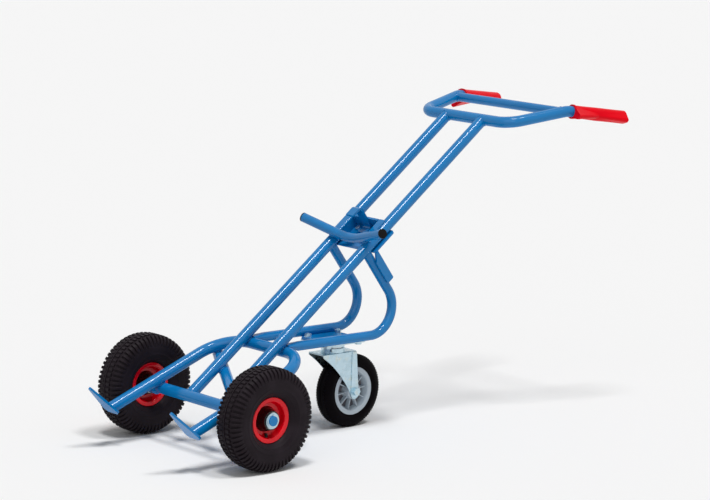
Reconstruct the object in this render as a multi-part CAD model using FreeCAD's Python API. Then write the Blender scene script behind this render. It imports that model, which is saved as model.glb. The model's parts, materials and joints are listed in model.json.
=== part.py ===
import FreeCAD, Part
import math
import os

from FreeCAD import Vector

# Drum trolley leaning back on two air-filled wheels and a swivel caster. Sizes in millimetres.
# X runs to the user's left, Y to the rear and Z up from the floor. Places are worked out
# from the main axle, and every piece is moved at the end so that the origin lies on the
# floor under the middle of the trolley.

# Fits shared by all pieces
running_gap = 0.04
bolt_gap = 0.3
side_gap = 0.3
slide_gap = 0.4
weld_sink = 0.5

# Main wheels
tyre_diameter = 260.0
tyre_width = 82.0
tyre_crown_width = 48.0
tyre_crown_drop = 2.0
tyre_shoulder_width = 69.0
tyre_shoulder_drop = 12.0
tyre_tread = 10.0
tread_lug_count = 62
tread_groove_width = 5.0
tread_groove_depth = 2.7
tread_rib_width = 8.0
tyre_wall = 9.0
tyre_bead = 10.0
tube_wall = 2.0
wheel_track = 480.0
rim_width = 50.0
rim_flange_diameter = 114.0
rim_seat_diameter = 96.0
rim_sheet = 3.0
rim_lip_round = 1.2
rim_dish_round = 10.0
rim_shoulder_round = 3.5
hub_diameter = 64.0
hub_length = 56.0
hub_end_diameter = 47.0
hub_throat = 36.0
bearing_diameter = 42.0
bearing_width = 9.0
bearing_recess = 1.0
valve_diameter = 8.0
valve_reach = 15.0
valve_offset = 7.5

# Main axle and what holds the wheels on it
axle_diameter = 25.0
axle_middle_diameter = 30.0
washer_diameter = 40.0
washer_thickness = 3.0
collar_diameter = 40.0
collar_length = 24.0
clip_diameter = 33.0
clip_thickness = 1.8
clip_depth = 1.0
clip_opening = 40.0
axle_stub = 2.6

# Rails and handle
rail_diameter = 30.0
rail_wall = 2.5
rail_spacing = 135.0
rail_angle = 37.7
rail_setback = 9.1
rail_length = 1103.0
handle_half_width = 163.0
handle_arm = 184.0
handle_rise_angle = 9.3
handle_splay_angle = 14.4
handle_bend = 55.0
handle_knee_bend = 80.0
crossbar_diameter = 25.0
crossbar_place = 0.92

# Grips
grip_length = 177.0
grip_start = 14.0
grip_drop_angle = 6.9
grip_splay_angle = 10.4
grip_diameter = 36.0
grip_guard_diameter = 15.0
grip_guard_reach = 36.0
grip_waist_reach = 11.5
grip_waist_place = 0.45
grip_ledge_reach = 20.0
grip_left_turn_angle = 15.0
grip_right_turn_angle = 50.0
grip_collar_diameter = 39.0
grip_collar_length = 6.0
grip_cap = 8.0
grip_chamfer = 3.5

# Fork with its toe plates
fork_diameter = 30.0
fork_wall = 2.5
fork_wheel_gap = 19.5
fork_angle = 21.1
fork_front = 169.0
fork_roundness = 0.58
toe_angle = 42.7
toe_heel = 18.5
toe_tip = 88.0
toe_width = 54.0
toe_taper_start = -2.0
toe_nose_radius = 5.0
toe_thickness = 6.0
toe_round = 14.0
brace_diameter = 30.0
brace_wall = 2.5
brace_high_reach = 193.0
brace_low_reach = 46.0

# Stand that carries the caster
stand_diameter = 25.0
stand_wall = 2.5
stand_on_rail = 585.0
stand_bend = 71.0
stand_nose_length = 42.0
stand_nose_height = 8.0
stand_nose_width = 33.0
stand_seat_share = 0.72
mount_plate_length = 124.0
mount_plate_thickness = 6.0
mount_plate_round = 8.0

# Cradle that the load leans on
cradle_diameter = 25.0
cradle_wall = 2.5
cradle_on_rail = 604.0
cradle_half_width = 153.0
cradle_angle = 18.0
cradle_bend = 150.0
plug_head = 3.0
plug_shank = 10.0

# Hook that slides on the rails
hook_rest_gap = 1.5
hook_high = 680.0
hook_sheet = 4.0
hook_lip_reach = 72.0
hook_bend = 5.0
hook_end_wall = 6.0
hook_back_half_width = 86.0
hook_back_thickness = 5.0
hook_back_round = 8.0
claw_width = 27.0
claw_thickness = 6.0
claw_reach = 60.0
claw_foot = 26.0
claw_drop = 33.0
claw_bend = 9.0
hook_bolt_size = 8.0
hook_bolt_half_spacing = 32.0
hook_bolt_place = 660.0
lever_thickness = 6.0
lever_inset = 4.0
lever_top = 607.0
lever_low = 584.0
lever_reach = 114.0
lever_shoulder = 45.0
lever_round = 4.0

# Swivel caster
caster_height = 237.0
caster_trail = 57.0
caster_wheel_place = 487.0
caster_tyre_diameter = 195.0
caster_tyre_width = 48.0
caster_tyre_crown = 30.0
caster_tyre_shoulder_drop = 9.0
caster_rim_diameter = 128.0
caster_rim_width = 44.0
caster_rim_ring = 5.0
caster_rim_dish = 9.0
caster_rim_web = 6.0
caster_rib_count = 10
caster_rib_thickness = 4.0
caster_rib_depth = 36.0
caster_hub_diameter = 44.0
caster_hub_length = 53.0
caster_roller_diameter = 28.0
caster_roller_length = 40.0
caster_sleeve_diameter = 20.0
caster_axle_size = 12.0
caster_plate_length = 138.0
caster_plate_width = 110.0
caster_plate_thickness = 4.0
caster_plate_round = 10.0
caster_bolt_size = 10.0
caster_bolt_length_spacing = 105.0
caster_bolt_width_spacing = 80.0
race_diameter = 62.0
race_height = 11.0
race_gap = 4.0
ball_circle = 46.0
ball_diameter = 8.0
kingpin_diameter = 12.0
kingpin_head_diameter = 24.0
kingpin_head = 5.0
leg_half_gap = 27.0
leg_sheet = 4.0
leg_end_radius = 13.0
leg_end_ahead = 2.0
leg_end_drop = 7.0
leg_sweep = 8.0
leg_step = 1.5
crown_front = 57.0
crown_rear = 57.0
crown_bend = 6.0

# Common proportions of hexagon fasteners
hex_flats = 1.6
hex_head = 0.65
hex_nut = 0.8

x_axis = Vector(1, 0, 0)
z_axis = Vector(0, 0, 1)
middle = Vector(0, 0, 0)
axle_centre = Vector(0, 0, tyre_diameter / 2)


def slope(degrees):
    angle = math.radians(degrees)
    return Vector(0, math.cos(angle), math.sin(angle)), Vector(0, -math.sin(angle), math.cos(angle))


rail_up, rail_front = slope(rail_angle)
rail_foot = axle_centre - rail_front * rail_setback
fork_half_width = (wheel_track - tyre_width - fork_diameter) / 2 - fork_wheel_gap
fork_bend = fork_half_width * fork_roundness
fork_rear, fork_top = slope(fork_angle)
fork_foot = axle_centre + fork_top * ((axle_middle_diameter + fork_diameter) / 2 - weld_sink)
bar_touch = (rail_diameter + fork_diameter) / 2 - weld_sink
fork_back = -(bar_touch + (fork_foot - rail_foot).dot(rail_front)) / fork_rear.dot(rail_front)
toe_way, toe_under = slope(180 - toe_angle)


def on_rail(x, along, forward):
    return rail_foot + x_axis * x + rail_up * along + rail_front * forward


def on_fork(x, along):
    return fork_foot + x_axis * x + fork_rear * along


def unit(vector):
    return vector * (1 / vector.Length)


def rounded_path(points, bends):
    edges = []
    start = points[0]
    for corner, after, bend in zip(points[1:-1], points[2:], bends):
        before_way = unit(corner - start)
        after_way = unit(after - corner)
        turn = before_way.getAngle(after_way)
        enter = corner - before_way * (bend * math.tan(turn / 2))
        leave = corner + after_way * (bend * math.tan(turn / 2))
        crest = corner + unit(after_way - before_way) * (bend / math.cos(turn / 2) - bend)
        edges.append(Part.makeLine(start, enter))
        edges.append(Part.Arc(enter, crest, leave).toShape())
        start = leave
    edges.append(Part.makeLine(start, points[-1]))
    return Part.Wire(edges)


def rod(points, bends, diameter):
    lengths = []
    for edge in rounded_path(points, bends).Edges:
        start = edge.valueAt(edge.FirstParameter)
        disc = Part.Face(Part.Wire(Part.makeCircle(diameter / 2, start, edge.tangentAt(edge.FirstParameter))))
        if hasattr(edge.Curve, "Radius"):
            turn = math.degrees(edge.Length / edge.Curve.Radius)
            lengths.append(disc.revolve(edge.Curve.Center, edge.Curve.Axis, turn))
        else:
            lengths.append(disc.extrude(edge.valueAt(edge.LastParameter) - start))
    return lengths[0].multiFuse(lengths[1:]) if bends else lengths[0]


def tube(points, bends, diameter, wall):
    return rod(points, bends, diameter).cut(rod(points, bends, diameter - 2 * wall))


def largest(shape):
    return max(shape.Solids, key=lambda solid: solid.Volume)


def mirrored(shape):
    return shape.mirror(middle, x_axis)


def ring(inner, outer, start, length, centre=middle, way=x_axis):
    base = centre + way * start
    blank = Part.makeCylinder(outer / 2, length, base, way)
    return blank.cut(Part.makeCylinder(inner / 2, length, base, way))


def hexagon(flats, height, base, way):
    side = unit(way.cross(z_axis)) if way.cross(z_axis).Length else x_axis
    spoke = side * (flats / math.sqrt(3))
    corners = [base + FreeCAD.Rotation(way, 60 * number).multVec(spoke) for number in range(6)]
    return Part.Face(Part.makePolygon(corners + corners[:1])).extrude(way * height)


def bolt(size, grip, tail, base, way):
    head = hexagon(size * hex_flats, size * hex_head, base - way * (size * hex_head), way)
    return head.fuse(Part.makeCylinder(size / 2, grip + tail, base, way)).removeSplitter()


def nut(size, base, way):
    blank = hexagon(size * hex_flats, size * hex_nut, base, way)
    return blank.cut(Part.makeCylinder(size / 2, size * hex_nut, base, way))


def turned(edges, centre):
    face = Part.Face(Part.Wire(edges))
    return face.revolve(middle, x_axis, 360).translated(centre)


def outline(points):
    return Part.makePolygon(points + points[:1]).Edges


def across(x, radius):
    return Vector(x, 0, radius)


def arc(first, crest, last):
    return Part.Arc(first, crest, last).toShape()


def parallel_edges(shape, way):
    return [edge for edge in shape.Edges
            if edge.Curve.TypeId == "Part::GeomLine" and edge.Curve.Direction.cross(way).Length < 1e-6]


def rounded_plate(length_way, width_way, length, width, thickness, corner, centre):
    start = centre - length_way * (length / 2) - width_way * (width / 2)
    points = [start, start + length_way * length, start + length_way * length + width_way * width]
    points.append(start + width_way * width)
    normal = length_way.cross(width_way)
    plate = Part.Face(Part.makePolygon(points + points[:1])).extrude(normal * thickness)
    return largest(plate.makeFillet(corner, parallel_edges(plate, normal)))


parts = {}


def pair(name, left_shape):
    parts[name + "_left"] = left_shape
    parts[name + "_right"] = mirrored(left_shape)


# Main wheel, drawn about its own centre with the outer side towards +X
wheel_centre = axle_centre + x_axis * (wheel_track / 2)
tyre_radius = tyre_diameter / 2
seat_radius = rim_seat_diameter / 2
flange_radius = rim_flange_diameter / 2
flange_inside = rim_width / 2 - rim_sheet
bulge_radius = (tyre_radius + flange_radius) / 2


def mirrored_edges(edges):
    return edges + [edge.mirror(middle, x_axis) for edge in edges]


bead_corner = across(flange_inside, seat_radius)
bead_top = across(flange_inside, flange_radius + side_gap)
side_bulge = across(tyre_width / 2, bulge_radius)
shoulder = across(tyre_shoulder_width / 2, tyre_radius - tyre_shoulder_drop)
crown_end = across(tyre_crown_width / 2, tyre_radius - tyre_crown_drop)
shoulder_mid = (shoulder + crown_end) * 0.5 + unit(across(1, 1)) * tyre_crown_drop
bead_inside = across(flange_inside - tyre_bead, seat_radius)
cavity_foot = across(bead_inside.x, flange_radius)
cavity_bulge = across(tyre_width / 2 - tyre_wall, bulge_radius)
cavity_top = across(tyre_shoulder_width / 2 - tyre_wall, shoulder.z - tyre_wall / 2)
cavity_crest = across(0, tyre_radius - tyre_tread)
cavity_side = [Part.makeLine(bead_inside, cavity_foot), arc(cavity_foot, cavity_bulge, cavity_top)]
cavity_edges = mirrored_edges(cavity_side)
cavity_edges.append(arc(cavity_top, cavity_crest, across(-cavity_top.x, cavity_top.z)))
bead_edges = [Part.makeLine(bead_inside, bead_corner), Part.makeLine(bead_corner, bead_top)]
side_edges = [arc(bead_top, side_bulge, shoulder), arc(shoulder, shoulder_mid, crown_end)]
tyre_edges = mirrored_edges(bead_edges + side_edges)
tyre_edges.append(arc(crown_end, across(0, tyre_radius), across(-crown_end.x, crown_end.z)))
tyre = turned(Part.sortEdges(tyre_edges + cavity_edges)[0], middle)

# Grooves run from the middle rib over the shoulder and leave lugs, staggered from side to side
groove_points = [
    across(tread_rib_width / 2, tyre_radius - tread_groove_depth),
    crown_end - z_axis * tread_groove_depth,
    shoulder - unit(across(1, 1)) * tread_groove_depth,
    across(tyre_width / 2 + tread_groove_depth, (bulge_radius + shoulder.z) / 2),
    across(tyre_width / 2 + tread_groove_depth, tyre_radius + tread_groove_depth),
    across(tread_rib_width / 2, tyre_radius + tread_groove_depth),
]
groove = Part.Face(Part.Wire(outline(groove_points))).extrude(Vector(0, tread_groove_width, 0))
groove.translate(Vector(0, -tread_groove_width / 2, 0))
lug_pitch = 360 / tread_lug_count
grooves = []
for number in range(tread_lug_count):
    for start_groove, start in ((mirrored(groove), 0), (groove, lug_pitch / 2)):
        grooves.append(start_groove.rotated(middle, x_axis, start + lug_pitch * number))
tyre = tyre.cut(Part.makeCompound(grooves))
parts["tyre_left"] = tyre.translated(wheel_centre)
parts["tyre_right"] = tyre.translated(axle_centre - x_axis * (wheel_track / 2))

bore_line = Part.makeLine(bead_inside, across(-bead_inside.x, seat_radius))
cavity_face = Part.Face(Part.Wire(Part.sortEdges(cavity_edges + [bore_line])[0]))
tube_face = cavity_face.cut(cavity_face.makeOffset2D(-tube_wall))
valve_foot = wheel_centre + Vector(valve_offset, 0, -seat_radius - tube_wall)
valve_hole = Part.makeCylinder(valve_diameter / 2, valve_reach, valve_foot, z_axis)
inner_tube = tube_face.revolve(middle, x_axis, 360).translated(wheel_centre)
pair("inner_tube", largest(inner_tube.cut(valve_hole)))
valve_bore = Part.makeCylinder(valve_diameter / 4, valve_reach, valve_foot, z_axis)
pair("valve", valve_hole.cut(valve_bore))

hub_radius = hub_diameter / 2
rim_inside = seat_radius - rim_sheet
rim_points = [
    across(0, hub_radius), across(rim_sheet, hub_radius),
    across(rim_sheet, rim_inside), across(flange_inside, rim_inside),
    across(rim_width / 2, seat_radius), across(rim_width / 2, flange_radius),
    across(flange_inside, flange_radius), across(flange_inside, seat_radius), across(0, seat_radius),
]
rim_half = turned(outline(rim_points), middle)


def circles(shape, place):
    return [edge for edge in shape.Edges
            if hasattr(edge.Curve, "Radius")
            and across(edge.Curve.Center.x, edge.Curve.Radius).distanceToPoint(place) < side_gap]


for place, bend in ((across(rim_sheet, rim_inside), rim_dish_round),
                    (across(0, seat_radius), rim_dish_round + rim_sheet),
                    (across(flange_inside, rim_inside), rim_shoulder_round),
                    (across(rim_width / 2, seat_radius), rim_shoulder_round),
                    (across(rim_width / 2, flange_radius), rim_lip_round),
                    (across(flange_inside, flange_radius), rim_lip_round)):
    rim_half = largest(rim_half.makeFillet(bend, circles(rim_half, place)))
outer_half = rim_half.cut(valve_hole.translated(wheel_centre * -1))
pair("rim_outer", outer_half.translated(wheel_centre))
pair("rim_inner", mirrored(rim_half).translated(wheel_centre))

bearing_radius = bearing_diameter / 2
bearing_outer = hub_length / 2 - bearing_recess
bearing_inner = bearing_outer - bearing_width
hub_barrel = 2 * rim_sheet
hub = Part.makeCylinder(hub_radius, hub_barrel, x_axis * (-hub_barrel / 2), x_axis)
for side in (1, -1):
    cone_start = x_axis * (side * hub_barrel / 2)
    cone_length = (hub_length - hub_barrel) / 2
    hub = hub.fuse(Part.makeCone(hub_radius, hub_end_diameter / 2, cone_length, cone_start, x_axis * side))
hub = hub.removeSplitter()
hub = hub.cut(Part.makeCylinder(hub_throat / 2, hub_length, x_axis * (-hub_length / 2), x_axis))
bearings = []
for side in (1, -1):
    seat_start = x_axis * (side * bearing_inner)
    hub = hub.cut(Part.makeCylinder(bearing_radius, hub_length, seat_start, x_axis * side))
    bore = axle_diameter + 2 * running_gap
    bearings.append(ring(bore, bearing_diameter, bearing_inner, bearing_width, middle, x_axis * side))
pair("hub", hub.translated(wheel_centre))
pair("bearings", Part.makeCompound(bearings).translated(wheel_centre))

# Axle with collars inside the wheels, washers on both sides and spring clips outside
hub_outside = wheel_track / 2 + hub_length / 2
hub_inside = wheel_track / 2 - hub_length / 2
outer_washer = hub_outside + side_gap
inner_washer = hub_inside - side_gap - washer_thickness
clip_place = outer_washer + washer_thickness + side_gap / 2
axle_half = clip_place + clip_thickness + axle_stub
collar_start = inner_washer - side_gap / 2 - collar_length
axle_solid = Part.makeCylinder(axle_diameter / 2, 2 * axle_half, axle_centre - x_axis * axle_half, x_axis)
middle_end = axle_centre - x_axis * collar_start
axle_middle = Part.makeCylinder(axle_middle_diameter / 2, 2 * collar_start, middle_end, x_axis)
axle_solid = axle_solid.fuse(axle_middle).removeSplitter()
axle_rod = axle_solid
clip_core = axle_diameter - 2 * clip_depth
clips = []
washers = []
collars = []
for side in (1, -1):
    way = x_axis * side
    groove = ring(clip_core, clip_diameter, clip_place, clip_thickness, axle_centre, way)
    axle_rod = axle_rod.cut(groove)
    clip_base = axle_centre + way * clip_place
    wedge = Part.makeCylinder(clip_diameter, clip_thickness, clip_base, way, clip_opening)
    clips.append(groove.cut(wedge))
    for start in (outer_washer, inner_washer):
        bore = axle_diameter + 2 * running_gap
        washers.append(ring(bore, washer_diameter, start, washer_thickness, axle_centre, way))
    collars.append(ring(axle_diameter, collar_diameter, collar_start, collar_length, axle_centre, way))
parts["axle_rod"] = axle_rod
parts["axle_collars"] = Part.makeCompound(collars)
parts["axle_washers"] = Part.makeCompound(washers)
parts["axle_clips"] = Part.makeCompound(clips)

# Handle bow with its grips, bent from one tube
rail_x = rail_spacing / 2


def heading(splay, rise):
    flat = math.cos(math.radians(splay))
    lean = math.radians(rise)
    return Vector(math.sin(math.radians(splay)), flat * math.cos(lean), flat * math.sin(lean))


handle_corner = on_rail(handle_half_width, rail_length, 0)
handle_way = heading(handle_splay_angle, handle_rise_angle)
grip_way = heading(grip_splay_angle, -grip_drop_angle)
handle_knee = handle_corner + handle_way * handle_arm
handle_end = handle_knee + grip_way * (grip_start + grip_length - grip_cap)
left_run = [handle_end, handle_knee, handle_corner]
handle_points = left_run + [Vector(-point.x, point.y, point.z) for point in reversed(left_run)]
handle_bends = [handle_knee_bend, handle_bend, handle_bend, handle_knee_bend]
handle_solid = rod(handle_points, handle_bends, rail_diameter)
parts["handle_tube"] = tube(handle_points, handle_bends, rail_diameter, rail_wall)

crossbar_left = handle_corner + handle_way * (handle_arm * crossbar_place)
crossbar_points = [Vector(-crossbar_left.x, crossbar_left.y, crossbar_left.z), crossbar_left]
crossbar = tube(crossbar_points, [], crossbar_diameter, rail_wall)
parts["handle_crossbar"] = largest(crossbar.cut(handle_solid))

grip_base = handle_knee + grip_way * grip_start
grip_out = unit(grip_way.cross(z_axis))
grip_up = grip_out.cross(grip_way)


def grip_section(guard_way, along, reach, inset):
    centre = grip_base + grip_way * along
    guard = centre + guard_way * reach
    lean = math.degrees(math.acos((grip_diameter - grip_guard_diameter) / 2 / reach))
    flank_ways = [FreeCAD.Rotation(grip_way, turn).multVec(guard_way) for turn in (lean, -lean)]
    body_radius = grip_diameter / 2 - inset
    guard_radius = grip_guard_diameter / 2 - inset
    body_sides = [centre + way * body_radius for way in flank_ways]
    guard_sides = [guard + way * guard_radius for way in flank_ways]
    return Part.Wire([
        arc(body_sides[0], centre - guard_way * body_radius, body_sides[1]),
        Part.makeLine(body_sides[1], guard_sides[1]),
        arc(guard_sides[1], guard + guard_way * guard_radius, guard_sides[0]),
        Part.makeLine(guard_sides[0], body_sides[0]),
    ])


# A grip is pushed on at its own turn; a hand guard beside the collar runs out into a ledge at the end
def make_grip(turn_angle):
    turn = math.radians(turn_angle)
    guard_way = grip_out * math.cos(turn) - grip_up * math.sin(turn)
    sections = [grip_section(guard_way, 0, grip_guard_reach, 0),
                grip_section(guard_way, grip_length * grip_waist_place, grip_waist_reach, 0),
                grip_section(guard_way, grip_length - grip_chamfer, grip_ledge_reach, 0),
                grip_section(guard_way, grip_length, grip_ledge_reach, grip_chamfer)]
    shape = Part.makeLoft(sections, True, True)
    shape = shape.fuse(Part.makeCylinder(grip_collar_diameter / 2, grip_collar_length, grip_base, grip_way))
    bore = Part.makeCylinder(rail_diameter / 2, grip_length - grip_cap, grip_base, grip_way)
    return largest(shape.removeSplitter().cut(bore))


parts["grip_left"] = make_grip(grip_left_turn_angle)
parts["grip_right"] = mirrored(make_grip(grip_right_turn_angle))

# Fork tube, welded on top of the axle, with a toe plate on each end
fork_front_left = on_fork(fork_half_width, -fork_front)
fork_start = fork_front_left - fork_rear * fork_diameter
fork_corner = on_fork(fork_half_width, fork_back)
fork_left = [fork_start, fork_corner]
fork_points = fork_left + [Vector(-point.x, point.y, point.z) for point in reversed(fork_left)]
fork_bends = [fork_bend, fork_bend]
fork_solid = rod(fork_points, fork_bends, fork_diameter)


def on_toe(along, sideways):
    return fork_front_left + toe_way * along + x_axis * sideways


half_toe = toe_width / 2
nose_start = toe_tip - toe_nose_radius
toe_edges = [
    Part.makeLine(on_toe(-toe_heel, half_toe), on_toe(toe_taper_start, half_toe)),
    Part.makeLine(on_toe(toe_taper_start, half_toe), on_toe(nose_start, toe_nose_radius)),
    arc(on_toe(nose_start, toe_nose_radius), on_toe(toe_tip, 0), on_toe(nose_start, -toe_nose_radius)),
    Part.makeLine(on_toe(nose_start, -toe_nose_radius), on_toe(toe_taper_start, -half_toe)),
    Part.makeLine(on_toe(toe_taper_start, -half_toe), on_toe(-toe_heel, -half_toe)),
    Part.makeLine(on_toe(-toe_heel, -half_toe), on_toe(-toe_heel, half_toe)),
]
toe_plate = Part.Face(Part.Wire(toe_edges)).extrude(toe_under * -toe_thickness)
heel_edges = [edge for edge in parallel_edges(toe_plate, toe_under)
              if (edge.CenterOfMass - fork_front_left).dot(toe_way) < -toe_heel + side_gap]
toe_plate = toe_plate.makeFillet(toe_round, heel_edges)
pair("toe_plate", toe_plate)
toe_corners = [on_toe(along, sideways) - toe_under * toe_thickness for along, sideways in (
    (-fork_front, toe_width), (fork_front, toe_width), (fork_front, -toe_width), (-fork_front, -toe_width))]
toe_face = Part.Face(Part.makePolygon(toe_corners + toe_corners[:1]))
beyond_toe = toe_face.extrude(toe_under * fork_front)
fork_tube = tube(fork_points, fork_bends, fork_diameter, fork_wall).cut(axle_solid)
parts["fork_tube"] = largest(fork_tube.cut(beyond_toe.fuse(mirrored(beyond_toe))))

# Rails between the axle and the handle
rail_ends = [on_rail(rail_x, 0, 0), on_rail(rail_x, rail_length, 0)]
rail_solid = rod(rail_ends, [], rail_diameter)
rail_solids = rail_solid.fuse(mirrored(rail_solid))
rail = tube(rail_ends, [], rail_diameter, rail_wall).cut(axle_solid).cut(handle_solid).cut(fork_solid)
pair("rail", largest(rail))

# One diagonal brace from under the fork's right arm, below the right rail, to the side of the left rail
brace_level = fork_top * (weld_sink - (fork_diameter + brace_diameter) / 2)
brace_points = [on_fork(-fork_half_width, brace_high_reach) + brace_level,
                on_fork(rail_x, brace_low_reach) + brace_level]
brace = tube(brace_points, [], brace_diameter, brace_wall)
for neighbour in (fork_solid, rail_solids, axle_solid):
    brace = brace.cut(neighbour)
parts["diagonal_brace"] = largest(brace)

# Stand tubes from the rails down to the caster and forward to the fork, with ends pressed flat on it
stand_radius = stand_diameter / 2
stand_height = caster_height + mount_plate_thickness + stand_radius * stand_seat_share
stand_top = on_rail(rail_x, stand_on_rail, 0)
stand_run = (stand_top.z - stand_height) / rail_front.z
stand_corner = on_rail(rail_x, stand_on_rail, -stand_run)
y_axis = Vector(0, 1, 0)
nose_tip = on_fork(rail_x, fork_back)
nose_tip.z += fork_diameter / 2 + weld_sink
nose_root = Vector(rail_x, nose_tip.y + stand_nose_length, stand_height)
stand_points = [nose_root, stand_corner, stand_top]
stand_solid = rod(stand_points, [stand_bend], stand_diameter)
stand_tube = tube(stand_points, [stand_bend], stand_diameter, stand_wall)
round_end = Part.makeCircle(stand_radius, nose_root, y_axis)
round_end.rotate(nose_root, y_axis, 90)
flat_side = nose_tip + x_axis * (stand_nose_width / 2)
flat_end = Part.Ellipse(flat_side, nose_tip - z_axis * (stand_nose_height / 2), nose_tip)
nose = Part.makeLoft([Part.Wire(round_end), Part.Wire(flat_end.toShape())], True, True)
stand_tube = stand_tube.fuse(nose).removeSplitter()
pair("stand_tube", largest(stand_tube.cut(rail_solids).cut(fork_solid)))

# Plate under the stand tubes for the caster, against their inner sides
swivel_y = caster_wheel_place - caster_trail
plate_centre = Vector(0, swivel_y, caster_height)
seat_half_width = stand_radius * math.sqrt(1 - stand_seat_share ** 2)
mount_plate_width = rail_spacing - 2 * seat_half_width + 2 * weld_sink
mount_plate = rounded_plate(x_axis, y_axis, mount_plate_width, mount_plate_length,
                            mount_plate_thickness, mount_plate_round, plate_centre)
mount_plate = mount_plate.cut(stand_solid).cut(mirrored(stand_solid))
top_plate_base = plate_centre - z_axis * caster_plate_thickness
top_plate = rounded_plate(x_axis, y_axis, caster_plate_width, caster_plate_length,
                          caster_plate_thickness, caster_plate_round, top_plate_base)
caster_bolts = []
caster_nuts = []
clamped = caster_plate_thickness + mount_plate_thickness
for x_side in (1, -1):
    for y_side in (1, -1):
        offset = Vector(x_side * caster_bolt_width_spacing / 2, y_side * caster_bolt_length_spacing / 2, 0)
        place = top_plate_base + offset
        hole = Part.makeCylinder(caster_bolt_size / 2 + bolt_gap, clamped, place, z_axis)
        mount_plate = mount_plate.cut(hole)
        top_plate = top_plate.cut(hole)
        caster_bolts.append(bolt(caster_bolt_size, clamped, caster_bolt_size, place, z_axis))
        caster_nuts.append(nut(caster_bolt_size, place + z_axis * clamped, z_axis))
parts["caster_mounting_plate"] = mount_plate
parts["caster_plate_bolts"] = Part.makeCompound(caster_bolts)
parts["caster_plate_nuts"] = Part.makeCompound(caster_nuts)

# Swivel head: top plate with upper race, ball ring, kingpin and fork with lower race
race_top = top_plate_base - z_axis * race_height
ball_level = race_top - z_axis * (race_gap / 2)
crown_top = race_top - z_axis * (race_gap + race_height)
crown_low = crown_top - z_axis * leg_sheet
ball_ring = Part.makeTorus(ball_circle / 2, ball_diameter / 2, ball_level, z_axis)
ball_track = Part.makeTorus(ball_circle / 2, ball_diameter / 2 + running_gap, ball_level, z_axis)
upper_race = Part.makeCylinder(race_diameter / 2, race_height, race_top, z_axis)
top_plate = top_plate.fuse(upper_race).removeSplitter().cut(ball_track)
pin_low = crown_low - z_axis * (side_gap + kingpin_head)
pin_length = plate_centre.z - pin_low.z
kingpin = Part.makeCylinder(kingpin_diameter / 2, pin_length, pin_low, z_axis)
parts["caster_top_plate"] = top_plate.cut(kingpin)
parts["caster_ball_ring"] = ball_ring
kingpin_collar = Part.makeCylinder(kingpin_head_diameter / 2, kingpin_head, pin_low, z_axis)
parts["caster_kingpin"] = kingpin.fuse(kingpin_collar).removeSplitter()

caster_axle = Vector(0, caster_wheel_place, caster_tyre_diameter / 2)
leg_outside = leg_half_gap + leg_sheet


def on_leg(y, z):
    return Vector(-leg_outside, y, z)


crown_rear_corner = on_leg(swivel_y + crown_rear, crown_top.z)
crown_front_corner = on_leg(swivel_y - crown_front, crown_top.z)
front_low = on_leg(swivel_y - crown_front, crown_low.z - leg_sheet)
leg_end = on_leg(caster_wheel_place - leg_end_ahead, caster_axle.z - leg_end_drop)
leg_front = leg_end - y_axis * leg_end_radius
leg_rear = leg_end + y_axis * leg_end_radius
leg_bottom = leg_end - z_axis * leg_end_radius
sweep_mid = (front_low + leg_front) * 0.5 + Vector(0, leg_sweep, leg_sweep / 2)
leg_edges = [
    Part.makeLine(crown_front_corner, crown_rear_corner),
    Part.makeLine(crown_rear_corner, leg_rear),
    arc(leg_rear, leg_bottom, leg_front),
    arc(leg_front, sweep_mid, front_low),
    Part.makeLine(front_low, crown_front_corner),
]
fork_block = Part.Face(Part.Wire(leg_edges)).extrude(x_axis * (2 * leg_outside))
top_long_edges = [edge for edge in fork_block.Edges
                  if abs(edge.CenterOfMass.z - crown_top.z) < side_gap
                  and abs(edge.CenterOfMass.x) > leg_half_gap]
fork_block = fork_block.makeFillet(crown_bend, top_long_edges)
for side in (1, -1):
    web_corner = Vector(side * leg_outside - leg_step, swivel_y - caster_tyre_diameter, 0)
    web_length = leg_front.y - web_corner.y
    fork_block = fork_block.cut(Part.makeBox(2 * leg_step, web_length, caster_height, web_corner))
wheel_space = Part.makeBox(2 * leg_half_gap, 2 * caster_tyre_diameter, crown_low.z,
                           Vector(-leg_half_gap, swivel_y - caster_tyre_diameter, 0))
caster_fork = fork_block.cut(wheel_space)
lower_race = Part.makeCylinder(race_diameter / 2, race_height, crown_top, z_axis)
caster_fork = caster_fork.fuse(lower_race).removeSplitter().cut(ball_track)
pin_hole = kingpin_diameter / 2 + running_gap
caster_fork = caster_fork.cut(Part.makeCylinder(pin_hole, caster_height, Vector(0, swivel_y, 0), z_axis))
sleeve_bore = caster_axle_size + 2 * bolt_gap
axle_hole = Part.makeCylinder(sleeve_bore / 2, 2 * leg_outside, caster_axle - x_axis * leg_outside, x_axis)
parts["caster_fork"] = caster_fork.cut(axle_hole)

# Caster wheel and its axle
parts["caster_axle_bolt"] = bolt(caster_axle_size, 2 * leg_outside, caster_axle_size,
                                 caster_axle + x_axis * leg_outside, x_axis * -1)
axle_nut_base = caster_axle - x_axis * (leg_outside + caster_axle_size * hex_nut)
parts["caster_axle_nut"] = nut(caster_axle_size, axle_nut_base, x_axis)
sleeve_length = 2 * leg_half_gap
parts["caster_sleeve"] = ring(sleeve_bore, caster_sleeve_diameter, -leg_half_gap, sleeve_length, caster_axle)
roller_bore = caster_sleeve_diameter + 2 * running_gap
parts["caster_roller_bearing"] = ring(roller_bore, caster_roller_diameter, -caster_roller_length / 2,
                                      caster_roller_length, caster_axle)
rim_radius = caster_rim_diameter / 2
ring_middle = rim_radius - caster_rim_ring / 2
half_rim = caster_rim_width / 2
lip_radius = rim_radius - caster_rim_ring
dish_radius = lip_radius - caster_rim_dish
half_web = caster_rim_web / 2
dish_points = [across(half_rim, rim_radius), across(half_rim, lip_radius), across(half_web, dish_radius)]
dish_points += [across(-point.x, point.z) for point in reversed(dish_points)]
rim = turned(outline(dish_points), middle)
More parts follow.
